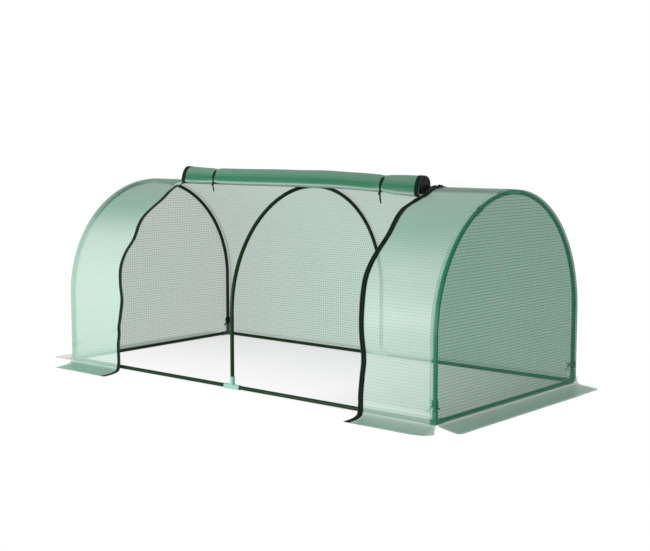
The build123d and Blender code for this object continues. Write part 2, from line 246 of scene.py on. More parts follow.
def ramp(tree, value, low, high, at_low, at_high):
    """Straight change from one number to another, held outside its range."""
    node = tree.nodes.new("ShaderNodeMapRange")
    for socket, number in zip(node.inputs, (value, low, high, at_low, at_high)):
        feed(tree, socket, number)
    return node.outputs["Result"]


def mix_colour(tree, share, first, second):
    node = tree.nodes.new("ShaderNodeMix")
    node.data_type = "RGBA"
    for place, value in ((0, share), (6, first), (7, second)):
        feed(tree, node.inputs[place], value)
    return node.outputs[2]


def grain(tree, place, scale, detail):
    """Noise from 0 to 1 at a scale in waves per metre."""
    node = tree.nodes.new("ShaderNodeTexNoise")
    feed(tree, node.inputs["Vector"], place)
    node.inputs["Scale"].default_value = scale
    node.inputs["Detail"].default_value = detail
    return node.outputs["Fac"]


def relief(tree, height, strength, distance):
    """Normal from a height."""
    node = tree.nodes.new("ShaderNodeBump")
    node.inputs["Strength"].default_value = strength
    node.inputs["Distance"].default_value = distance
    feed(tree, node.inputs["Height"], height)
    return node.outputs["Normal"]


def split(tree, place):
    """X, Y and Z of a place."""
    node = tree.nodes.new("ShaderNodeSeparateXYZ")
    tree.links.new(place, node.inputs["Vector"])
    return node.outputs


def object_place(tree):
    return tree.nodes.new("ShaderNodeTexCoord").outputs["Object"]


def cut_place(tree):
    """Place on the flat cut of a film or tape, in metres."""
    node = tree.nodes.new("ShaderNodeUVMap")
    node.uv_map = "cut"
    return node.outputs["UV"]


def new_group(name, inputs, outputs):
    """Empty shader group with float or vector inputs and float outputs."""
    tree = bpy.data.node_groups.new(name, "ShaderNodeTree")
    for label, kind in inputs.items():
        tree.interface.new_socket(label, in_out="INPUT", socket_type=kind)
    for label in outputs:
        tree.interface.new_socket(label, in_out="OUTPUT", socket_type="NodeSocketFloat")
    return tree, tree.nodes.new("NodeGroupInput").outputs, tree.nodes.new("NodeGroupOutput").inputs


def use_group(tree, group, **values):
    """Places a group in a material with its own values."""
    node = tree.nodes.new("ShaderNodeGroup")
    node.node_tree = group
    for label, value in values.items():
        feed(tree, node.inputs[label], value)
    return node.outputs


def new_material(name):
    """Material with a plain Principled shader, its tree and that shader's sockets."""
    material = bpy.data.materials.new(name)
    material.use_nodes = True
    tree = material.node_tree
    return material, tree, tree.nodes["Principled BSDF"].inputs


def blend_shader(tree, other, share):
    """Mixes a share of another shader into a material's own."""
    blend = tree.nodes.new("ShaderNodeMixShader")
    feed(tree, blend.inputs[0], share)
    tree.links.new(tree.nodes["Principled BSDF"].outputs[0], blend.inputs[1])
    tree.links.new(other.outputs[0], blend.inputs[2])
    tree.links.new(blend.outputs[0], tree.nodes["Material Output"].inputs["Surface"])


def srgb(red, green, blue):
    """Linear colour from the values that a screen shows."""
    def linear(value):
        return value / 12.92 if value <= 0.04045 else ((value + 0.055) / 1.055) ** 2.4
    return (*[linear(value) for value in (red, green, blue)], 1)


# Shared effects
NET_PITCH = 0.0117
THREAD_WIDTH = 0.0022
THREAD_DRIFT = 0.004  # how far a thread strays from its place
TWILL_PITCH = {"X": 0.0011, "Y": 0.0014}  # from rib to rib of a tape, across and along it
STITCH_PITCH = 0.005
CLOUD = (0.3, 0.7)  # values between which most of a cloud lies


def thread_group():
    """Open net of threads inside the film: a mask of the threads and their height."""
    sockets = {"Cut": "NodeSocketVector", "Pitch": "NodeSocketFloat", "Width": "NodeSocketFloat"}
    tree, given, made = new_group("film_threads", sockets, ("Thread", "Height"))
    parts = split(tree, given["Cut"])
    stray = calc(tree, "SUBTRACT", grain(tree, given["Cut"], scale=14, detail=1), 0.5)
    drift = calc(tree, "MULTIPLY", stray, THREAD_DRIFT)
    masks = []
    for axis in "XY":
        along = calc(tree, "DIVIDE", calc(tree, "ADD", parts[axis], drift), given["Pitch"])
        off = calc(tree, "ABSOLUTE", calc(tree, "SUBTRACT", calc(tree, "FRACT", along), 0.5))
        far = calc(tree, "DIVIDE", calc(tree, "MULTIPLY", off, given["Pitch"]), given["Width"])
        masks.append(ramp(tree, far, 0.35, 0.65, 1, 0))
    tree.links.new(calc(tree, "MAXIMUM", *masks), made["Thread"])
    tree.links.new(calc(tree, "ADD", *masks), made["Height"])
    return tree


def cloth_group():
    """Fine twill of a woven tape: its height and a mask of its valleys, which the tape paints darker as
    shade.
    """
    tree, given, made = new_group("tape_twill", {"Cut": "NodeSocketVector"}, ("Height", "Valley"))
    parts = split(tree, given["Cut"])
    turns = [calc(tree, "MULTIPLY", parts[axis], 2 * math.pi / pitch) for axis, pitch in TWILL_PITCH.items()]
    ribs = calc(tree, "SINE", calc(tree, "ADD", *turns))
    fibres = calc(tree, "SUBTRACT", grain(tree, given["Cut"], scale=900, detail=2), 0.5)
    height = calc(tree, "ADD", ribs, fibres)
    tree.links.new(height, made["Height"])
    tree.links.new(ramp(tree, height, -0.9, 0.5, 1, 0), made["Valley"])
    return tree


def handling_group():
    """Broad unevenness from use: a cloud from 0 to 1 and sparse scuffs."""
    tree, given, made = new_group("handling", {"Place": "NodeSocketVector"}, ("Cloud", "Scuff"))
    tree.links.new(grain(tree, given["Place"], scale=5, detail=3), made["Cloud"])
    specks = grain(tree, given["Place"], scale=55, detail=6)
    tree.links.new(ramp(tree, specks, 0.6, 0.72, 0, 1), made["Scuff"])
    return tree


THREADS = thread_group()
TWILL = cloth_group()
HANDLING = handling_group()


# Materials
DENSE = 0.82  # cover of the film's cells where it is densest
THREAD_COVER = 0.25  # how much more the threads cover
FILM_CLEAR = 0.3  # share of what lies behind the film that shows through it everywhere
FILM_TINT = (0.6, 0.58, 0.58, 1)


def marked(tree, name):
    """Mark on the points of a film."""
    node = tree.nodes.new("ShaderNodeAttribute")
    node.attribute_name = name
    return node.outputs["Fac"]


def film_material(name, colour, thread, shaded_thread, cell):
    """Green film with a net of threads, which cover more than its cells, pale with a painted sheen and denser
    with darker threads by a painted density where marked.
    """
    material, tree, shader = new_material(name)
    cut = cut_place(tree)
    net = use_group(tree, THREADS, Cut=cut, Pitch=NET_PITCH, Width=THREAD_WIDTH)
    cloud = use_group(tree, HANDLING, Place=object_place(tree))["Cloud"]
    # painted shade: darker threads where the painted density is high
    threads = mix_colour(tree, ramp(tree, marked(tree, "painted_density"), 0.15, 0.35, 0, 1), thread, shaded_thread)
    green = mix_colour(tree, net["Thread"], colour, threads)
    # pale colour of the painted sheen, which stands for light falling on the film
    pale = mix_colour(tree, net["Thread"], srgb(0.86, 0.96, 0.91), srgb(0.67, 0.82, 0.75))
    feed(tree, shader["Base Color"], mix_colour(tree, marked(tree, "painted_sheen"), green, pale))
    # painted shade: more cover where the painted density is high
    cover = ramp(tree, marked(tree, "painted_density"), -1, 1, 2 * cell - DENSE, DENSE)
    thread_cover = calc(tree, "ADD", cover, THREAD_COVER)
    feed(tree, shader["Alpha"], ramp(tree, net["Thread"], 0, 1, cover, thread_cover))
    feed(tree, shader["Roughness"], ramp(tree, cloud, *CLOUD, 0.3, 0.38))
    shader["Specular IOR Level"].default_value = 0.35
    feed(tree, shader["Normal"], relief(tree, net["Height"], strength=0.12, distance=0.0005))
    clear = tree.nodes.new("ShaderNodeBsdfTransparent")
    clear.inputs["Color"].default_value = FILM_TINT
    blend_shader(tree, clear, FILM_CLEAR)
    return material


def seam_material():
    """Doubled film along a seam, with a row of stitches down its middle; its pale colour is partly a painted
    highlight.
    """
    material, tree, shader = new_material("seam_with_highlight")
    cut = cut_place(tree)
    net = use_group(tree, THREADS, Cut=cut, Pitch=NET_PITCH, Width=THREAD_WIDTH)
    turns = calc(tree, "MULTIPLY", split(tree, cut)["Y"], 2 * math.pi / STITCH_PITCH)
    dash = ramp(tree, calc(tree, "SINE", turns), -0.5, -0.2, 0, 1)
    stitch = calc(tree, "MULTIPLY", dash, marked(tree, "stitch"))
    # pale doubled film, partly a painted highlight along the seam
    doubled_and_highlight = mix_colour(tree, net["Thread"], srgb(0.66, 0.84, 0.75), srgb(0.78, 0.92, 0.85))
    feed(tree, shader["Base Color"], mix_colour(tree, stitch, doubled_and_highlight, srgb(0.56, 0.76, 0.66)))
    feed(tree, shader["Alpha"], calc(tree, "MAXIMUM", ramp(tree, net["Thread"], 0, 1, 0.34, 0.5), stitch))
    feed(tree, shader["Roughness"], ramp(tree, stitch, 0, 1, 0.5, 0.7))
    height = calc(tree, "ADD", net["Height"], stitch)
    feed(tree, shader["Normal"], relief(tree, height, strength=0.5, distance=0.0006))
    return material


def tape_material(name, colour, border_and_shade, border):
    """Woven polyester tape with a dark border along each edge and painted shade in the valleys of its twill,
    border being the width left between them.
    """
    material, tree, shader = new_material(name)
    cut = cut_place(tree)
    twill = use_group(tree, TWILL, Cut=cut)
    cloud = use_group(tree, HANDLING, Place=object_place(tree))["Cloud"]
    aside = calc(tree, "ABSOLUTE", split(tree, cut)["X"])
    edge = ramp(tree, aside, border * 0.4, border * 0.6, 0, 1)
    # painted shade: the twill's valleys are darkened, more where the cloud is high
    shade = calc(tree, "MULTIPLY", twill["Valley"], ramp(tree, cloud, *CLOUD, 0.6, 1))
    feed(tree, shader["Base Color"], mix_colour(tree, calc(tree, "MAXIMUM", shade, edge), colour, border_and_shade))
    shader["Specular IOR Level"].default_value = 0.1
    feed(tree, shader["Roughness"], ramp(tree, twill["Valley"], 0, 1, 0.6, 0.85))
    feed(tree, shader["Normal"], relief(tree, twill["Height"], strength=0.5, distance=0.0003))
    return material


def enamel_material():
    """Dark green enamel baked on steel tube, with a faint orange-peel surface and a few scuffs."""
    material, tree, shader = new_material("tube_enamel")
    place = object_place(tree)
    worn = use_group(tree, HANDLING, Place=place)
    fresh = mix_colour(tree, worn["Cloud"], srgb(0.03, 0.16, 0.05), srgb(0.045, 0.2, 0.07))
    feed(tree, shader["Base Color"], mix_colour(tree, worn["Scuff"], fresh, srgb(0.16, 0.27, 0.17)))
    feed(tree, shader["Roughness"], ramp(tree, worn["Scuff"], 0, 1, 0.3, 0.5))
    shader["Specular IOR Level"].default_value = 0.15
    peel = grain(tree, place, scale=420, detail=2)
    feed(tree, shader["Normal"], relief(tree, peel, strength=0.12, distance=0.0004))
    return material


def moulded_material(name, dull, fresh, scuffed):
    """Green moulded plastic of the connectors, finely pitted."""
    material, tree, shader = new_material(name)
    place = object_place(tree)
    worn = use_group(tree, HANDLING, Place=place)
    even = mix_colour(tree, worn["Cloud"], dull, fresh)
    feed(tree, shader["Base Color"], mix_colour(tree, worn["Scuff"], even, scuffed))
    feed(tree, shader["Roughness"], ramp(tree, worn["Cloud"], *CLOUD, 0.38, 0.5))
    pits = grain(tree, place, scale=900, detail=3)
    feed(tree, shader["Normal"], relief(tree, pits, strength=0.15, distance=0.0003))
    return material


def nylon_material():
    """Black nylon of the zip teeth."""
    material, tree, shader = new_material("zip_nylon")
    cloud = use_group(tree, HANDLING, Place=object_place(tree))["Cloud"]
    black = mix_colour(tree, cloud, srgb(0.02, 0.03, 0.025), srgb(0.06, 0.07, 0.065))
    feed(tree, shader["Base Color"], black)
    feed(tree, shader["Roughness"], ramp(tree, cloud, *CLOUD, 0.3, 0.45))
    return material


def slider_material(name, bright, worn_bright):
    """Plated metal of a zip slider, finely grained."""
    material, tree, shader = new_material(name)
    place = object_place(tree)
    worn = use_group(tree, HANDLING, Place=place)
    feed(tree, shader["Base Color"], mix_colour(tree, worn["Scuff"], bright, worn_bright))
    shader["Metallic"].default_value = 1
    feed(tree, shader["Roughness"], ramp(tree, worn["Cloud"], *CLOUD, 0.36, 0.5))
    marks = grain(tree, place, scale=1500, detail=2)
    feed(tree, shader["Normal"], relief(tree, marks, strength=0.1, distance=0.0002))
    return material


WOUND_GREEN = srgb(0.2, 0.54, 0.39)
WOVEN_FILM = film_material(
    "woven_film", srgb(0.2, 0.82, 0.63), srgb(0.2, 0.54, 0.41), srgb(0.18, 0.4, 0.3), cell=0.5,
)
WOUND_FILM = film_material("wound_film", WOUND_GREEN, WOUND_GREEN, WOUND_GREEN, cell=0.96)
SEAM_WITH_HIGHLIGHT = seam_material()
ZIP_CLOTH = tape_material("zip_cloth", srgb(0.03, 0.2, 0.13), srgb(0.01, 0.03, 0.02), border=0.008)
TIE_CLOTH = tape_material("tie_cloth", srgb(0.04, 0.22, 0.15), srgb(0.02, 0.12, 0.08), border=0.03)
TUBE_ENAMEL = enamel_material()
PALE_PLASTIC = moulded_material(
    "pale_plastic", srgb(0.55, 0.77, 0.7), srgb(0.63, 0.82, 0.76), srgb(0.48, 0.66, 0.6),
)
# darker copy of the connector plastic for the corner joints: painted shade
SHADED_PLASTIC = moulded_material(
    "shaded_plastic", srgb(0.13, 0.38, 0.28), srgb(0.18, 0.45, 0.34), srgb(0.12, 0.32, 0.24),
)
ZIP_NYLON = nylon_material()
SLIDERS = {
    -1: slider_material("slider_nickel", srgb(0.96, 0.96, 0.95), srgb(0.75, 0.76, 0.75)),
    # darker copy of the same nickel for the right slider: painted shade
    1: slider_material("slider_nickel_in_shade", srgb(0.16, 0.18, 0.17), srgb(0.3, 0.31, 0.3)),
}  # by side


# Film lines
def film_line(run):
    """Film of a long wall at a run down from the ridge: its place and outward direction, as (outward, up)."""
    if run < SLOPE_RUN:
        fall = Vector((math.cos(CROWN_SLOPE), -math.sin(CROWN_SLOPE)))
        return Vector((0, TOP_Z)) + fall * run, Vector((-fall.y, fall.x))
    if run < ROOF_RUN:
        turn = CROWN_SLOPE + (run - SLOPE_RUN) / ARC
        out = Vector((math.sin(turn), math.cos(turn)))
        return Vector((0, SPRING_Z)) + out * ARC, out
    if run < FOOT_RUN:
        return Vector((ARC, SPRING_Z - (run - ROOF_RUN))), Vector((1, 0))
    return foot_line(run - FOOT_RUN, ARC, WALL_COVE)


def foot_line(run, wall, cove):
    """Bend at the foot of a wall and the flap beyond it."""
    turn = min(run / cove, math.pi / 2)
    out = Vector((math.cos(turn), math.sin(turn)))
    flap = max(run - cove * math.pi / 2, 0)
    return Vector((wall + cove, LIE + cove)) - out * cove + Vector((flap, 0)), out


def flap_share(place, wall, hem):
    """How far out on its flap a point of the film is, from 0 at the wall to 1 at the hem."""
    return min(max((place - wall) / (hem - wall), 0), 1)


def round_corner(run, whole):
    """How far the end of a flap is cut back by its rounded corner."""
    past = min(max(run - (whole - FLAP_CORNER), 0), FLAP_CORNER)
    return FLAP_CORNER - math.sqrt(FLAP_CORNER ** 2 - past ** 2)


def curve(shares, value):
    """Smooth curve through pairs of a place and a value, level at both ends."""
    spot = max(place for place in range(len(shares) - 1) if shares[place][0] <= value)
    (low, start), (high, end) = shares[spot], shares[spot + 1]
    slopes = []
    for knot in (spot, spot + 1):
        before, after = shares[max(knot - 1, 0)], shares[min(knot + 1, len(shares) - 1)]
        inside = 0 < knot < len(shares) - 1
        slopes.append((after[1] - before[1]) / (after[0] - before[0]) * (high - low) * inside)
    part = min((value - low) / (high - low), 1)
    bend = part * (1 - part) * ((1 - part) * slopes[0] - part * slopes[1])
    return mix(start, end, smooth(low, high, value)) + bend


def zip_middle(side, height):
    """Place along X of the middle of a zip at a height on the film."""
    shares = LEFT_ZIP_SHARES if side < 0 else RIGHT_ZIP_SHARES
    up = min(max((height - COVE_TOP) / (TOP_Z - COVE_TOP), 0), 1)
    return side * ZIP_X + ZIP_WAVE * curve(shares, up)


def front_lean(side, ground):
    """How far a front flap lies sideways at a share of its width, most of it beside the wall."""
    return FRONT_LEAN[side] * ground * (2 - ground)


def panel_edge(side, run):
    """Place along X of a zip's middle at a run down the front film, with the lean of the flap."""
    place, _ = film_line(run)
    return zip_middle(side, place.y) + front_lean(side, flap_share(place.x, ARC, FRONT_HEM))


def hem_wave(x, share, seed):
    """Height of a flap above its flat lie: nothing at the wall and soft waves along the hem."""
    return LIFT * share ** 2 * (0.75 + uneven(x * 4.3, seed, 0.5) + 0.4 * uneven(x * 13, seed, 2.5))


def slack_share(wall, run, height):
    """Share of its slack that a long wall keeps: none at the ridge and a little at its foot."""
    return smooth(0, RIDGE_HOLD[wall], run) * (1 - 0.7 * smooth(FOOT_FREE, FOOT_HELD, height))


def front_point(side, x, run):
    """Front film at a place along X: its point and outward direction, with its slack waves."""
    place, out = film_line(run)
    ground = flap_share(place.x, ARC, FRONT_HEM)
    straight = x - front_lean(side, ground)
    free = smooth(ARCH_X, ZIP_X, abs(straight))
    off = SLACK * free * uneven(straight * 4, run * 5, 3.0 + side)
    off += 0.5 * SLACK * free * uneven(straight * 11, run * 9, 8.0 + side)
    off *= slack_share("front", run, place.y)
    if side < 0:
        above = place.y - CREASE_Z - CREASE_RISE * (straight - CREASE_X)
        hollow = bump(above, -CREASE_HOLLOW, CREASE_WIDTH)
        off += CREASE_DEPTH * free ** 0.5 * (bump(above, 0, CREASE_WIDTH) - 0.8 * hollow)
    outward = Vector((0, -out.x, out.y))
    point = Vector((x, -place.x, place.y)) + outward * off
    point.z = max(point.z + hem_wave(straight, ground, side), LIE)
    return point, outward, ground


def back_point(x, run):
    """Back wall and roof film, sagging a little between the arches."""
    place, out = film_line(run)
    ground = flap_share(place.x, ARC, WALL_HEM)
    between = math.sin(math.pi * min(abs(x) / ARCH_X, 1))
    waves = 0.6 * uneven(x * 3, run * 4, 5.0) + 0.3 * uneven(x * 9, run * 8, 7.0) - 0.5
    off = SLACK * between * slack_share("back", run, place.y) * waves
    outward = Vector((0, out.x, out.y))
    point = Vector((x - FLAP_LEAN * ground, place.x, place.y)) + outward * off
    point.z = max(point.z + hem_wave(x, ground, 6.0), LIE)
    return point, outward, ground


def end_line(run):
    """End film at a run down from the ridge: its half width, its place as (outward, up) and its direction."""
    if run < ROOF_RUN:
        place, _ = film_line(run)
        return place.x, Vector((END_X, place.y)), Vector((1, 0))
    down = run - ROOF_RUN
    if down < END_LEG_RUN:
        return ARC, Vector((END_X, SPRING_Z - down)), Vector((1, 0))
    place, out = foot_line(down - END_LEG_RUN, END_X, END_COVE)
    return ARC, place, out


def end_point(side, across, run):
    """End film at a share of its width, from -1 to 1."""
    half, place, out = end_line(run)
    ground = flap_share(place.x, END_X, END_HEM)
    y = across * (half - round_corner(run, END_RUN))
    off = 0.5 * SLACK * (1 - across ** 2) * (uneven(y * 3.5, place.y * 4, 20.0 + side) - 0.3) * (1 - ground)
    off *= smooth(0, RIDGE_HOLD["end"], run) * smooth(END_HELD, END_FREE, place.y)
    point = Vector((side * (place.x + out.x * off), y - END_LEAN[side] * ground, place.y + out.y * off))
    point.z = max(point.z + hem_wave(y, ground, 14.0 + side), LIE)
    return point, Vector((side * out.x, 0, out.y)), ground


# Sheets
# painted sheen, which lightens the back sheet a little
BACK_SHEEN = 0.05
BACK_DENSE = 0.1
ROOF_SHEEN = {-1: 0.26, 1: 0.34}  # how much painted sheen the roof of a front panel has, its wall being 1, by side
SHEEN_SPAN = {-1: (0.98, 0.5), 1: (0.88, 0.42)}  # angles up the arch where the painted sheen of the wall ends and is full
EDGE_SHEEN = {-1: 0.65, 1: 0}  # share of that beside an end wall, by side
EDGE_SPAN = {-1: (0, 0.03), 1: (0.02, 0.03)}  # distances from an end wall over which it grows, by side
FLAP_SHEEN = {-1: 0, 1: 0.75}  # how much painted sheen a front flap has by its wall, by side
END_PAINTED_DENSITY = {-1: 0.1, 1: 0.35}  # cover of an end film, by side, higher on the right as painted shade
END_FLAP_PAINTED_DENSITY = {-1: -0.85, 1: 0.6}  # change of that cover on its flap, by side: more on the right as painted shade and less on the left
SEAM_WIDTH = 0.01
SEAM_LIFT = 0.0006
SEAM_INSET = 0.019  # of a seam from an end wall, past the tube
LAP_RUN = 0.128  # of the lap over a front panel, down from the ridge
MERGE = 1e-5  # points closer than this are one


def film_sheet(size, place, turned, marks=("painted_sheen", "painted_density")):
    """Grid laid out by place, which gives for two shares a point, its spot on the flat cut and its marks."""
    mesh = bmesh.new()
    columns, rows = size
    bmesh.ops.create_grid(mesh, x_segments=columns, y_segments=rows, size=0.5)
    for mark in marks:
        mesh.verts.layers.float.new(mark)
    layers = [mesh.verts.layers.float[mark] for mark in marks]
    cut = mesh.loops.layers.uv.new("cut")
    spots = {}
    for vert in mesh.verts:
        vert.co, spots[vert], values = place(vert.co.x + 0.5, vert.co.y + 0.5)
        for layer, value in zip(layers, values):
            vert[layer] = value
    for face in mesh.faces:
        for loop in face.loops:
            loop[cut].uv = spots[loop.vert]
    if turned:
        bmesh.ops.reverse_faces(mesh, faces=mesh.faces)
    return mesh


def back_film():
    """Back sheet from the ridge to its hem, with a seam beside each end arch."""
    def place(across, down):
        x, run = mix(-END_X, END_X, across), down * WALL_RUN
        point, _, ground = back_point(x, run)
        return point, (x, run), (BACK_SHEEN, BACK_DENSE - smooth(0, 0.2, ground))

    size = (round(2 * END_X / CELL), round(WALL_RUN / CELL))
    mesh = film_sheet(size, place, False)
    piece = finish_piece("back_film", mesh, WOVEN_FILM, ["back_sheet"])
    seams = [roof_seam(f"back_{column}_seam", side, 1) for column, side in SIDES.items()]


def sheen_on_front(side, run, inward):
    """Painted sheen on a front panel, which stands for light falling on its wall: little on the roof and
    beside the end arch, and full on the wall.
    """
    start, full = [ROOF_RUN - angle * ARC for angle in SHEEN_SPAN[side]]
    wall = mix(ROOF_SHEEN[side], 1, smooth(start, full, run))
    return wall * mix(EDGE_SHEEN[side], 1, smooth(*EDGE_SPAN[side], inward))


def front_film(column, side, trims):
    """Front panel from the ridge to its hem, between an end arch and its zip."""
    def place(across, down):
        run = down * FRONT_RUN
        spot, _ = film_line(run)
        ground = flap_share(spot.x, ARC, FRONT_HEM)
        bulge = FLAP_BULGE[side] * curve(BULGE_SHARES, ground)
        outer = side * (END_X + bulge) + front_lean(side, ground)
        inner = panel_edge(side, run) + side * (ZIP_TAPE[side] / 2 - ZIP_LAP)
        x = mix(outer, inner, across ** 1.5)
        point, _, _ = front_point(side, x, run)
        painted_sheen = sheen_on_front(side, run, abs(x - outer))
        lying = smooth(0.05, 0.3, ground)
        # on a flap the painted sheen fades towards the hem and the painted density grows towards it, painted
        # shade of a flap lying on the ground
        flap_marks = (FLAP_SHEEN[side] * (1 - ground), 0.55 + 0.4 * ground)
        return point, (x, -run), tuple(mix(painted_sheen, mark, lying) for mark in flap_marks)

    size = (round(PANEL_WIDTH / CELL * 1.7), round(FRONT_RUN / CELL * 1.5))
    mesh = film_sheet(size, place, side < 0)
    piece = finish_piece(f"front_{column}_film", mesh, WOVEN_FILM, [f"front_{column}_panel"])
    trims = [*trims, roof_seam(f"front_{column}_seam", side, -1), ridge_lap(column, side)]


def end_film(column, side):
    """End panel under an end arch, with its flap."""
    def place(across, down):
        run = down * END_RUN
        _, spot, _ = end_line(run)
        point, _, ground = end_point(side, 2 * across - 1, run)
        drop = TOP_Z - spot.y + max(spot.x - END_X, 0)
        # painted density: more on the right end and its flap as painted shade
        painted_density = END_PAINTED_DENSITY[side] + END_FLAP_PAINTED_DENSITY[side] * smooth(0, 0.8, ground)
        return point, (point.y, drop), (0, painted_density)

    size = (round(2 * ARC / CELL), round(END_RUN / CELL * 1.3))
    mesh = film_sheet(size, place, side < 0)
    bmesh.ops.remove_doubles(mesh, verts=mesh.verts, dist=MERGE)
    piece = finish_piece(f"{column}_end_film", mesh, WOVEN_FILM, [f"{column}_end_panel"])


def roof_seam(name, side, row):
    """Doubled film beside an end arch, from the ridge to the foot of a long wall."""
    def place(across, down):
        run = down * FOOT_RUN
        inward = SEAM_INSET + across * SEAM_WIDTH
        x = side * (END_X - inward)
        point, out, _ = back_point(x, run) if row > 0 else front_point(side, x, run)
        return point + out * SEAM_LIFT, (inward, run), (bump(across, 0.5, 0.09),)

    mesh = film_sheet((10, round(FOOT_RUN / CELL)), place, side * row > 0, ("stitch",))
    return finish_piece(name, mesh, SEAM_WITH_HIGHLIGHT)


def ridge_lap(column, side):
    """Edge of the back sheet lapped over the top of a front panel and sewn down."""
    def place(across, down):
        run = down * LAP_RUN
        x = mix(side * (END_X - SEAM_INSET), panel_edge(side, run) + side * ZIP_TAPE[side] / 2, across)
        point, out, _ = front_point(side, x, run)
        return point + out * SEAM_LIFT, (run, x), (bump(down, 0.95, 0.02),)

    mesh = film_sheet((20, 24), place, side < 0, ("stitch",))
    return finish_piece(f"{column}_ridge_lap", mesh, SEAM_WITH_HIGHLIGHT)


# Zips
def ruffle(side, run, inner):
    """How far the free edge of a zip stands up near the ridge, where the door was drawn aside."""
    rough = 1 + 0.5 * uneven(run * 60, side, 1.5) + 0.3 * uneven(run * 170, side, 4.5)
    fold = 0.4 * bump(run, RUFFLE_FOLD, RUFFLE_FOLD_WIDTH)
    return RUFFLE[side] * inner ** 2 * rough * max(smooth(RUFFLE_START, RUFFLE_FULL, run), fold)


def zip_tape(column, side):
    """Tape sewn over the free edge of a front panel."""
    def place(across, down):
        run = down * FRONT_RUN
        x = panel_edge(side, run) + (across - 0.5) * ZIP_TAPE[side]
        point, out, _ = front_point(side, x, run)
        curl = TAPE_CURL * (2 * across - 1) ** 2 + ruffle(side, run, 0.5 - side * (across - 0.5))
        return point + out * (TAPE_LIFT + curl), ((across - 0.5) * ZIP_TAPE[side], run), ()

    mesh = film_sheet((6, round(FRONT_RUN / CELL * 2)), place, True, ())
    piece = finish_piece(f"{column}_zip_tape", mesh, ZIP_CLOTH, [f"{column}_zip"])
    thicken(piece, TAPE_THICKNESS)
    return piece


def tooth_row(name, count, place):
    """Row of small teeth: place gives for a share of the row a point, its way along and its way out."""
    mesh = bmesh.new()
    for number in range(count):
        point, along, out = place((number + 0.5) / count)
        across = along.cross(out)
        turn = Matrix((across, along, out)).transposed().to_4x4()
        size = Matrix.Diagonal((*TOOTH_SIZE, 1))
        bmesh.ops.create_cube(mesh, size=1, matrix=Matrix.Translation(point) @ turn @ size)
    return finish_piece(name, mesh, ZIP_NYLON, rounded=False)


def zip_teeth(column, side):
    """Teeth along the free edge of a zip's tape."""
    def spot(run):
        x = panel_edge(side, run) - side * ZIP_TAPE[side] / 2
        point, out, _ = front_point(side, x, run)
        return point + out * (TAPE_LIFT + ruffle(side, run, 1)), out

    def place(down):
        run = down * FRONT_RUN
        point, out = spot(run)
        ahead, _ = spot(run + TOOTH_PITCH)
        along = (ahead - point).normalized()
        return point, along, (out - along * out.dot(along)).normalized()

    return tooth_row(f"{column}_zip_teeth", round(FRONT_RUN / TOOTH_PITCH), place)


# Rolled-up door
LIP_RUN = SLOPE_RUN + ARC * (ROLL_ANGLE - CROWN_SLOPE)
ROLL_UP = Vector((0, -math.sin(ROLL_ANGLE), math.cos(ROLL_ANGLE)))
ROLL_FRONT = Vector((0, -math.cos(ROLL_ANGLE), -math.sin(ROLL_ANGLE)))
ROLL_CENTRE = Vector((0, 0, SPRING_Z)) + ROLL_UP * (ARC + ROLL_RADIUS)
ROLL_TURNS = (ROLL_RADIUS - SLING - ROLL_CORE) / ROLL_PITCH
CORE_SHIFT = (ROLL_UP * 0.8 - ROLL_FRONT * 0.6) * SLING


def roll_sag(x):
    """Rise or fall of the roll along its length: its right end droops and its left end is held up."""
    return sum(ROLL_RISE[side] * smooth(*RISE_SPAN[side], side * x) for side in SIDES.values())


def roll_lean(x, angle):
    """Shift along X of the wound film at the left end, where each turn lies further in at its top."""
    return smooth(STIFF_X, DOOR_EDGE, -x) * (ROLL_LEAN + TURN_LEAN * (1 - math.cos(angle)))


def roll_radius(turns, x):
    """Radius of the wound film after a number of turns from its foot."""
    radius = ROLL_RADIUS - ROLL_PITCH * turns - SLING * smooth(0, 1, turns)
    squeeze = max(bump(x, tie, PINCH_WIDTH) for tie in ROLL_TIE_X.values())
    loose = smooth(LOOSE_TURNS, 0, turns)
    flare = ROLL_FLARE[-1 if x < 0 else 1] * smooth(STIFF_X, DOOR_EDGE, abs(x))
    radius += ROLL_SWELL * bump(x, SWELL_X, SWELL_WIDTH) * loose
    radius += flare * smooth(ROLL_TURNS, 0, turns) - ROLL_PINCH * squeeze * loose
    angle = turns * 2 * math.pi
    if turns < 1:
        place = max(turns + 0.006 * uneven(x * 5, 0, 40.0) * smooth(0, 0.1, turns), 0)
        radius += ROLL_RADIUS * (curve(SLACK_SHARES, place) - 1) * (1 - 0.5 * squeeze)
    dent = uneven(x * 7, math.cos(angle) * 1.5, math.sin(angle) * 1.5 + turns)
    return radius + ROLL_UNEVEN * loose * dent


def roll_point(turns, x):
    """Wound film after a number of turns from its foot, and its direction away from the middle."""
    angle = turns * 2 * math.pi
    out = ROLL_FRONT * math.sin(angle) - ROLL_UP * math.cos(angle)
    shift = Vector((x + roll_lean(x, angle), 0, roll_sag(x)))
    middle = ROLL_CENTRE + CORE_SHIFT * smooth(0, 1, turns) + shift
    return middle + out * roll_radius(turns, x), out


def wound_rows():
    """Turns at which the wound film gets a row of facets, closer together on the outer turn, which shows."""
    rows = [0.0]
    while rows[-1] < ROLL_TURNS:
        facet = OUTER_FACET if rows[-1] < 1.1 else INNER_FACET
        girth = 2 * math.pi * max(roll_radius(rows[-1], 0), ROLL_CORE)
        rows.append(min(rows[-1] + facet / girth, ROLL_TURNS))
    return rows


WOUND_TURNS = wound_rows()
DOOR_STEPS = LIP_STEPS + len(WOUND_TURNS) - 1


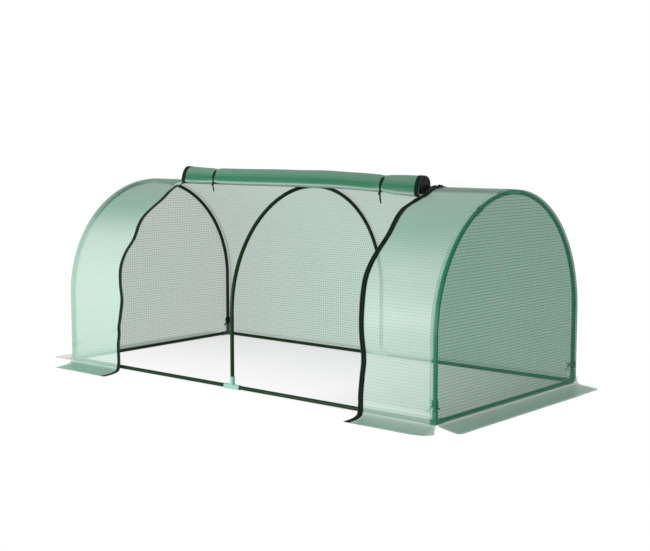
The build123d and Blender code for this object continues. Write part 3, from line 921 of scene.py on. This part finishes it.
def door_point(step, x):
    """Door film at a step down from the ridge: its point and outward direction."""
    if step > LIP_STEPS:
        return roll_point(WOUND_TURNS[step - LIP_STEPS], x)
    run = LIP_RUN * step / LIP_STEPS
    place, out = film_line(run)
    foot, _ = roll_point(0, x)
    straight, _ = film_line(LIP_RUN)
    shift = foot - Vector((x, -straight.x, straight.y))
    return Vector((x, -place.x, place.y)) + shift * smooth(0, LIP_RUN, run), Vector((0, -out.x, out.y))


def door_runs():
    """Length of film from the ridge to each step."""
    runs = [0.0]
    for step in range(DOOR_STEPS):
        runs.append(runs[-1] + (door_point(step + 1, 0)[0] - door_point(step, 0)[0]).length)
    return runs


DOOR_RUNS = door_runs()
DOOR_RUN = DOOR_RUNS[-1]


def door_film():
    """Door film from the ridge down into the roll."""
    half = DOOR_EDGE - DOOR_TAPE + ZIP_LAP

    def place(across, down):
        x, step = mix(-half, half, across), round(down * DOOR_STEPS)
        point, _ = door_point(step, x)
        # painted sheen and painted highlight on the outer turn of the roll
        roll_sheen = curve(ROLL_SHEEN, min(WOUND_TURNS[max(step - LIP_STEPS, 0)], 1))
        return point, (x, -DOOR_RUNS[step]), (roll_sheen, 0)

    size = (round(2 * half / CELL), DOOR_STEPS)
    mesh = film_sheet(size, place, True)
    piece = finish_piece("door_film", mesh, WOUND_FILM, ["rolled_door"])


def door_tape(column, side):
    """Zip tape along an edge of the door, wound up with it."""
    def place(across, down):
        step = round(down * DOOR_STEPS)
        x = side * (DOOR_EDGE - DOOR_TAPE * across)
        point, out = door_point(step, x)
        return point + out * TAPE_LIFT, ((across - 0.5) * DOOR_TAPE, DOOR_RUNS[step]), ()

    mesh = film_sheet((4, DOOR_STEPS), place, side < 0, ())
    piece = finish_piece(f"{column}_door_tape", mesh, ZIP_CLOTH, [f"{column}_door_zip"])
    thicken(piece, TAPE_THICKNESS)
    return piece


def door_teeth(column, side):
    """Teeth along an edge of the door, wound up with it."""
    x = side * (DOOR_EDGE + TOOTH_SIZE.x / 4)

    def place(share):
        step = min(int(share * DOOR_STEPS), DOOR_STEPS - 1)
        part = share * DOOR_STEPS - step
        (start, out), (end, _) = door_point(step, x), door_point(step + 1, x)
        along = (end - start).normalized()
        return start.lerp(end, part), along, (out - along * out.dot(along)).normalized()

    return tooth_row(f"{column}_door_teeth", round(DOOR_RUN / TOOTH_PITCH), place)


# Ties
TIE_WIDTH = 0.009
TIE_THICKNESS = 0.001
TIE_HEIGHT = 0.078  # of a leg tie's knot above the ground
CROWN_TIE_ANGLE = math.radians(27)  # place on an end arch, forward of the ridge
CROWN_TIE_SIZE = {-1: 0.2, 1: 0.5}  # by side, a leg tie's being 1
KNOT_RADIUS = 0.0048
KNOT_HALF = 0.0045  # half of a knot's length
TIE_GAP = 0.0011  # from a tube to the first layer of tape round it
WRAP_HALF = 0.013  # half of the height of tube that a leg tie covers
WRAP_BULGE = 0.0022  # of the upper layers of tape
BOW = (0.008, 0.014, 0.017)  # reach of a leg tie's bows away from the tube, aside and up
TAIL = (0.02, 0.04, 0.03)  # and of its tails away, aside and down
ROLL_TIE_STEPS = 28  # facets round the roll
ROLL_TIE_GAP = 0.0012  # from the roll to the tape round it
ROLL_TIE_SLANT = 0.007  # how far aside the tape lies at the top of the roll and below it
ROLL_TIE_HALF = (0.004, 0.009)  # half of its width where it is drawn together and over the top
ROLL_KNOT_STEP = 4  # place of the knot, low on the front
ROLL_KNOT_LIFT = 0.002
ROLL_TAIL = {-1: 0.042, 1: 0.05}  # length of the long tail of a roll tie, by side
SHORT_TAIL = 0.014
TAIL_SPREAD = 0.006  # how far aside the foot of a roll tie's tail hangs
TAIL_SWAY = 0.004  # and how far forward its middle does
# Shapes in shares: bows and tails aside and up, tape round a tube up and out, knots along and out
BOW_SHARES = ((0, 0), (0.35, 0.5), (0.8, 0.55), (1, 0.15), (0.8, -0.2), (0.35, -0.12), (0, 0))
TAIL_SHARES = ((0, 0), (0.12, -0.25), (0.3, -0.55), (0.38, -0.8), (0.58, -1))
WRAP_SHARES = ((-1, 0), (-0.75, 1), (-0.4, 0.2), (-0.1, 1), (0.3, 0.3), (0.7, 1), (1, 0))
BARREL_SHARES = ((-1, 0.6), (-0.8, 0.95), (-0.1, 0.9), (0.1, 1), (0.8, 1), (1, 0.6))


def add_ribbon(mesh, cut, points, halves):
    """Tape along points, reaching to each side of each as far as its half width."""
    edge = [mesh.verts.new(points[0] + halves[0] * way) for way in (-1, 1)]
    run = 0
    for before, point, half in zip(points, points[1:], halves[1:]):
        line = [mesh.verts.new(point + half * way) for way in (-1, 1)]
        face = mesh.faces.new((edge[0], edge[1], line[1], line[0]))
        ahead = run + (point - before).length
        for loop, spot in zip(face.loops, ((0, run), (TIE_WIDTH, run), (TIE_WIDTH, ahead), (0, ahead))):
            loop[cut].uv = spot
        edge, run = line, ahead


def add_ring(mesh, cut, profile, axis, steps, middle):
    """Profile turned all the way round an axis, about a middle."""
    old = set(mesh.verts)
    verts = [mesh.verts.new(point) for point in profile]
    edges = [mesh.edges.new(pair) for pair in zip(verts, verts[1:])]
    bmesh.ops.spin(
        mesh, geom=verts + edges, cent=(0, 0, 0), axis=axis, angle=2 * math.pi, steps=steps, use_merge=True,
    )
    new = [vert for vert in mesh.verts if vert not in old]
    for face in {face for vert in new for face in vert.link_faces}:
        for loop in face.loops:
            loop[cut].uv = loop.vert.co.yz
    bmesh.ops.translate(mesh, verts=new, vec=middle)


def add_knot(mesh, cut, middle, radius, half, axis):
    """Barrel-shaped knot of wrapped tape along an axis."""
    along = Vector(axis)
    aside = along.orthogonal().normalized()
    profile = [aside * radius * size + along * half * at for at, size in BARREL_SHARES]
    add_ring(mesh, cut, profile, axis, 12, middle)


def finish_tie(name, mesh):
    """Tie in place of the frame's tie of that name."""
    bmesh.ops.recalc_face_normals(mesh, faces=mesh.faces)
    piece = finish_piece(name, mesh, TIE_CLOTH, [name])
    thicken(piece, TIE_THICKNESS)
    soften(piece)


def spread_halves(line, width):
    """Half widths of a tape that shows its face along X."""
    ends = [line[0], *line, line[-1]]
    aside = [Vector((1, 0, 0)).cross(after - before) for before, after in zip(ends, ends[2:])]
    return [way.normalized() * width / 2 for way in aside]


def tape_line(knot_x, way, reach, shares):
    """Points of a bow or a tail to one side of a knot."""
    away, aside, up = reach
    return [Vector((knot_x + away * y, way * aside * y, up * z)) for y, z in shares]


def tube_tie(name, place, seed, size):
    """Tape knotted in a bow round a tube. The place's Z runs up the tube and its X points at the knot."""
    mesh = bmesh.new()
    cut = mesh.loops.layers.uv.new("cut")
    wrap = TUBE_RADIUS + TIE_GAP
    knot_size = min(1, 2 * size)
    knot_x = wrap + KNOT_RADIUS * knot_size
    turns = [Vector((wrap + WRAP_BULGE * out, 0, WRAP_HALF * size * up)) for up, out in WRAP_SHARES]
    add_ring(mesh, cut, turns, (0, 0, 1), 20, (0, 0, 0))
    add_knot(mesh, cut, (knot_x, 0, 0), KNOT_RADIUS * knot_size, KNOT_HALF * knot_size, (0, 1, 0))
    for way in (-1, 1):
        reach = size * (1 + 0.25 * uneven(seed, way, 0.5))
        bow = tape_line(knot_x, way, (BOW[0] * size, BOW[1] * reach, BOW[2] * size), BOW_SHARES)
        tail = tape_line(knot_x, way, (TAIL[0] * size, TAIL[1] * reach, TAIL[2] * reach), TAIL_SHARES)
        add_ribbon(mesh, cut, bow, spread_halves(bow, TIE_WIDTH * 0.6 * knot_size))
        add_ribbon(mesh, cut, tail, spread_halves(tail, TIE_WIDTH * 0.8 * knot_size))
    bmesh.ops.transform(mesh, matrix=place, verts=mesh.verts)
    finish_tie(name, mesh)


def frame_matrix(origin, x_way, z_way):
    """Placement from an origin, an X direction and a Z direction."""
    z_axis = Vector(z_way).normalized()
    y_axis = z_axis.cross(Vector(x_way)).normalized()
    x_axis = y_axis.cross(z_axis)
    turn = Matrix((x_axis, y_axis, z_axis)).transposed().to_4x4()
    return Matrix.Translation(origin) @ turn


def leg_tie(row, column):
    """Tie on a corner leg, its bow inside the corner."""
    x_side, y_side = SIDES[column], ROWS[row]
    origin = Vector((x_side * ARCH_X, y_side * ARCH_RADIUS, TIE_HEIGHT))
    place = frame_matrix(origin, (-x_side, -y_side, 0), (0, 0, 1))
    tube_tie(f"{row}_{column}_leg_tie", place, seed=3.1 * x_side + y_side, size=1)


def crown_tie(column, side):
    """Tie on an end arch near its crown, its bow inside."""
    out = Vector((0, -math.sin(CROWN_TIE_ANGLE), math.cos(CROWN_TIE_ANGLE)))
    origin = Vector((side * ARCH_X, 0, SPRING_Z)) + out * ARCH_RADIUS
    place = frame_matrix(origin, (-side, -out.y, -out.z), (0, out.z, -out.y))
    tube_tie(f"{column}_crown_tie", place, seed=5.3 * side, size=CROWN_TIE_SIZE[side])


def roll_tie(column, side):
    """Tape drawn tight round the roll on a slant and knotted low on its front, with two tails."""
    mesh = bmesh.new()
    cut = mesh.loops.layers.uv.new("cut")
    x = ROLL_TIE_X[side]
    middle = ROLL_CENTRE + Vector((x, 0, roll_sag(x)))
    loop, halves = [], []
    for step in range(ROLL_TIE_STEPS + 1):
        turns = step / ROLL_TIE_STEPS
        angle = turns * 2 * math.pi
        out = ROLL_FRONT * math.sin(angle) - ROLL_UP * math.cos(angle)
        slant = Vector((-ROLL_TIE_SLANT * math.cos(angle), 0, 0))
        loop.append(middle + slant + out * (roll_radius(turns % 1, x) + ROLL_TIE_GAP))
        halves.append(Vector((mix(*ROLL_TIE_HALF, smooth(0.14, 0.34, min(turns, 1 - turns))), 0, 0)))
    add_ribbon(mesh, cut, loop, halves)
    start = loop[ROLL_KNOT_STEP]
    knot = start + (start - middle).normalized() * ROLL_KNOT_LIFT
    for way, length in ((1, ROLL_TAIL[side]), (-1, SHORT_TAIL)):
        tail = [
            knot + Vector((TAIL_SPREAD * way * share, -TAIL_SWAY * math.sin(3 * share), -length * share))
            for share in (0, 0.2, 0.45, 0.7, 1)
        ]
        add_ribbon(mesh, cut, tail, [Vector((TIE_WIDTH / 2, 0, 0))] * len(tail))
    add_knot(mesh, cut, knot, KNOT_RADIUS, KNOT_HALF, (1, 0, 0))
    finish_tie(f"{column}_roll_tie", mesh)


# Zip sliders
SLIDER_ANGLE = math.radians(15)  # place on the film, forward of the ridge
SLIDER_PLATE = Vector((0.012, 0.018, 0.0014))
SLIDER_GAP = 0.0032  # between the two plates
POST = Vector((0.003, 0.005, SLIDER_GAP))
POST_Y = 0.0054  # from the middle of the slider towards the ridge
BAIL = Vector((0.003, 0.011, 0.0022))
PULL = Vector((0.008, 0.034, 0.0015))
PULL_GAP = 0.002  # from the middle of the slider to the pull
PLATE_ROUND = 0.3  # rounding of a plate's corners, a share of its width
SLIDER_EDGE = 0.0003  # broken edges of the plates


def add_plate(mesh, size, along, height):
    """Plate with rounded corners, its middle at a place along the zip and a height above the film."""
    place = Matrix.Translation((0, along, height)) @ Matrix.Diagonal((*size, 1))
    verts = set(bmesh.ops.create_cube(mesh, size=1, matrix=place)["verts"])
    upright = [
        edge for edge in mesh.edges
        if set(edge.verts) <= verts and abs(edge.verts[0].co.z - edge.verts[1].co.z) > size.z / 2
    ]
    bmesh.ops.bevel(
        mesh, geom=upright, offset=size.x * PLATE_ROUND, segments=4, profile=0.5, affect="EDGES", material=-1,
    )


def zip_slider(column, side):
    """Slider of two plates on a nose post, with a bail and a long pull."""
    mesh = bmesh.new()
    upper = SLIDER_PLATE.z * 1.5 + SLIDER_GAP
    add_plate(mesh, SLIDER_PLATE, 0, SLIDER_PLATE.z / 2)
    add_plate(mesh, SLIDER_PLATE, 0, upper)
    add_plate(mesh, POST, POST_Y, upper / 2)
    add_plate(mesh, BAIL, 0, upper + BAIL.z / 2)
    add_plate(mesh, PULL, -PULL.y / 2 - PULL_GAP, upper + BAIL.z)
    run = SLOPE_RUN + ARC * (SLIDER_ANGLE - CROWN_SLOPE)
    origin, out, _ = front_point(side, panel_edge(side, run), run)
    ahead, _, _ = front_point(side, panel_edge(side, run + PULL.y), run + PULL.y)
    place = frame_matrix(origin + out * FILM, out.cross(origin - ahead) * side, out)
    bmesh.ops.transform(mesh, matrix=place, verts=mesh.verts)
    replaced = [f"{column}_zip_slider"]
    piece = finish_piece(f"{column}_slider", mesh, SLIDERS[side], replaced, rounded=False)
    edge = piece.modifiers.new("edges", "BEVEL")
    edge.width = SLIDER_EDGE
    edge.segments = 2


# Frame finishes
FRAME_FINISHES = {
    ("_half", "_rail"): TUBE_ENAMEL,
    ("_tee", "_cross"): PALE_PLASTIC,
    ("_joint",): SHADED_PLASTIC,
}  # by the last word of a node's name


def dress_frame():
    """Enamel on the tubes and moulded plastic on the connectors."""
    for name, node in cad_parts.items():
        for endings, material in FRAME_FINISHES.items():
            if name.endswith(endings):
                node.data.materials.clear()
                node.data.materials.append(material)


# Studio
PHOTO_WIDTH = 650  # pixels
FOCAL_PIXELS = 1229.3
EYE = Vector((3.4203, -3.9874, 1.0))
YAW = 0.6982  # turn of the view to the left
PITCH = 0.1103  # and its fall below the level
AMBIENT = 0.46  # light from the room on every surface
KEY_PLACE = Vector((-0.8, -3, 0.5))
KEY_TARGET = Vector((-0.3, -0.5, 0.3))
KEY_WIDTH, KEY_HEIGHT = 2.4, 0.8
KEY_WATTS = 58
FLOOR_HALF = 15
FLOOR_GLOW = (0.66, 0.93)  # share of the floor inside that stays white in shade, at the back and at the front
FLOOR_SHADE = 0.4  # how much less that is at the right end
SHADE_X = 0.3  # from where it grows less
WALL_BLEND = 0.01  # inside a wall, over which the floor turns as white as outside
FLAP_SHADE = 0.5  # how much less of the floor stays white under the flaps
WALL_FADE = (0, 0.012)  # distances over which that grows: out from a wall
HEM_FADE = (0.022, 0.01)  # in from a hem
SIDE_FADE = (0.006, 0.02)  # and in from the ends of a flap


def seen_share(tree):
    """1 for rays from the camera, a mirror or glass, and 0 for the light on surfaces."""
    path = tree.nodes.new("ShaderNodeLightPath")
    direct = calc(tree, "MAXIMUM", path.outputs["Is Camera Ray"], path.outputs["Is Glossy Ray"])
    return calc(tree, "MAXIMUM", direct, path.outputs["Is Transmission Ray"])


def studio_world():
    """White room that shows white and lights the surfaces by less."""
    world = bpy.data.worlds.new("studio")
    world.use_nodes = True
    tree = world.node_tree
    background = tree.nodes["Background"].inputs
    background["Color"].default_value = (1, 1, 1, 1)
    glow = calc(tree, "MULTIPLY", seen_share(tree), 1 - AMBIENT)
    feed(tree, background["Strength"], calc(tree, "ADD", glow, AMBIENT))
    bpy.context.scene.world = world


def flap_cover(tree, out, straight, depth, low, high):
    """1 under a flap of a depth beyond its wall, along which it reaches from low to high, and 0 elsewhere."""
    start, full = [depth - inset for inset in HEM_FADE]
    cover = calc(tree, "MULTIPLY", ramp(tree, out, *WALL_FADE, 0, 1), ramp(tree, out, start, full, 1, 0))
    for edge, way in ((low, 1), (high, -1)):
        inset = calc(tree, "MULTIPLY", calc(tree, "SUBTRACT", straight, edge), way)
        cover = calc(tree, "MULTIPLY", cover, ramp(tree, inset, *SIDE_FADE, 0, 1))
    return cover


def under_flaps(tree, x, y):
    """How much less of the floor stays white under the flaps that show."""
    out = calc(tree, "SUBTRACT", x, END_X)
    depth = END_HEM - END_X
    straight = calc(tree, "ADD", y, ramp(tree, out, 0, depth, 0, END_LEAN[1]))
    whole = flap_cover(tree, out, straight, depth, -ARC, ARC)
    out = calc(tree, "SUBTRACT", calc(tree, "MULTIPLY", y, -1), ARC)
    depth = FRONT_HEM - ARC
    ground = ramp(tree, out, 0, depth, 0, 1)
    eased = calc(tree, "MULTIPLY", ground, calc(tree, "SUBTRACT", 2, ground))
    for side, edges in ((-1, (-END_X, -ZIP_X)), (1, (ZIP_X, END_X))):
        straight = calc(tree, "SUBTRACT", x, calc(tree, "MULTIPLY", eased, FRONT_LEAN[side]))
        whole = calc(tree, "ADD", whole, flap_cover(tree, out, straight, depth, *edges))
    return calc(tree, "MULTIPLY", whole, FLAP_SHADE)


def floor_material():
    """Pale floor that shows white, with soft shade inside the tunnel and under its flaps."""
    material, tree, shader = new_material("pale_floor")
    shader["Base Color"].default_value = (0.85, 0.85, 0.85, 1)
    shader["Roughness"].default_value = 0.9
    parts = split(tree, object_place(tree))
    x, y = parts["X"], parts["Y"]
    wide, deep = [calc(tree, "ABSOLUTE", spot) for spot in (x, y)]
    outside = calc(tree, "MAXIMUM", *[
        ramp(tree, spot, wall - WALL_BLEND, wall, 0, 1) for spot, wall in ((wide, END_X), (deep, ARC))
    ])
    depth = ramp(tree, y, ARC, -ARC, *FLOOR_GLOW)
    inside = calc(tree, "SUBTRACT", depth, ramp(tree, x, SHADE_X, ARCH_X, 0, FLOOR_SHADE))
    white = calc(tree, "SUBTRACT", calc(tree, "MAXIMUM", inside, outside), under_flaps(tree, x, y))
    glow = tree.nodes.new("ShaderNodeEmission")
    blend_shader(tree, glow, calc(tree, "MULTIPLY", seen_share(tree), white))
    return material


def studio_floor():
    """Wide floor under the tunnel."""
    mesh = bmesh.new()
    bmesh.ops.create_grid(mesh, x_segments=1, y_segments=1, size=FLOOR_HALF)
    mesh_object("floor", mesh, floor_material())


def key_light():
    """Wide soft lamp low in front of the left panel."""
    data = bpy.data.lights.new("key", "AREA")
    data.shape = "RECTANGLE"
    data.size = KEY_WIDTH
    data.size_y = KEY_HEIGHT
    data.energy = KEY_WATTS
    lamp = place_object("key", data)
    lamp.location = KEY_PLACE
    lamp.rotation_euler = (KEY_TARGET - KEY_PLACE).to_track_quat("-Z", "Y").to_euler()


def photo_camera():
    """Camera where the photograph was taken from."""
    data = bpy.data.cameras.new("camera")
    data.lens = data.sensor_width * FOCAL_PIXELS / PHOTO_WIDTH
    camera = place_object("camera", data)
    camera.location = EYE
    camera.rotation_euler = (math.pi / 2 - PITCH, 0, YAW)
    bpy.context.scene.camera = camera


def build():
    """Finishes on the frame and every piece on it."""
    dress_frame()
    back_film()
    for column, side in SIDES.items():
        front_film(column, side, [zip_tape(column, side), zip_teeth(column, side)])
        end_film(column, side)
        crown_tie(column, side)
        roll_tie(column, side)
        zip_slider(column, side)
        for row in ROWS:
            leg_tie(row, column)
    edges = [make(column, side) for make in (door_tape, door_teeth) for column, side in SIDES.items()]
    door_film()


build()
studio_world()
studio_floor()
key_light()
photo_camera()
bpy.context.scene.view_settings.view_transform = "Standard"
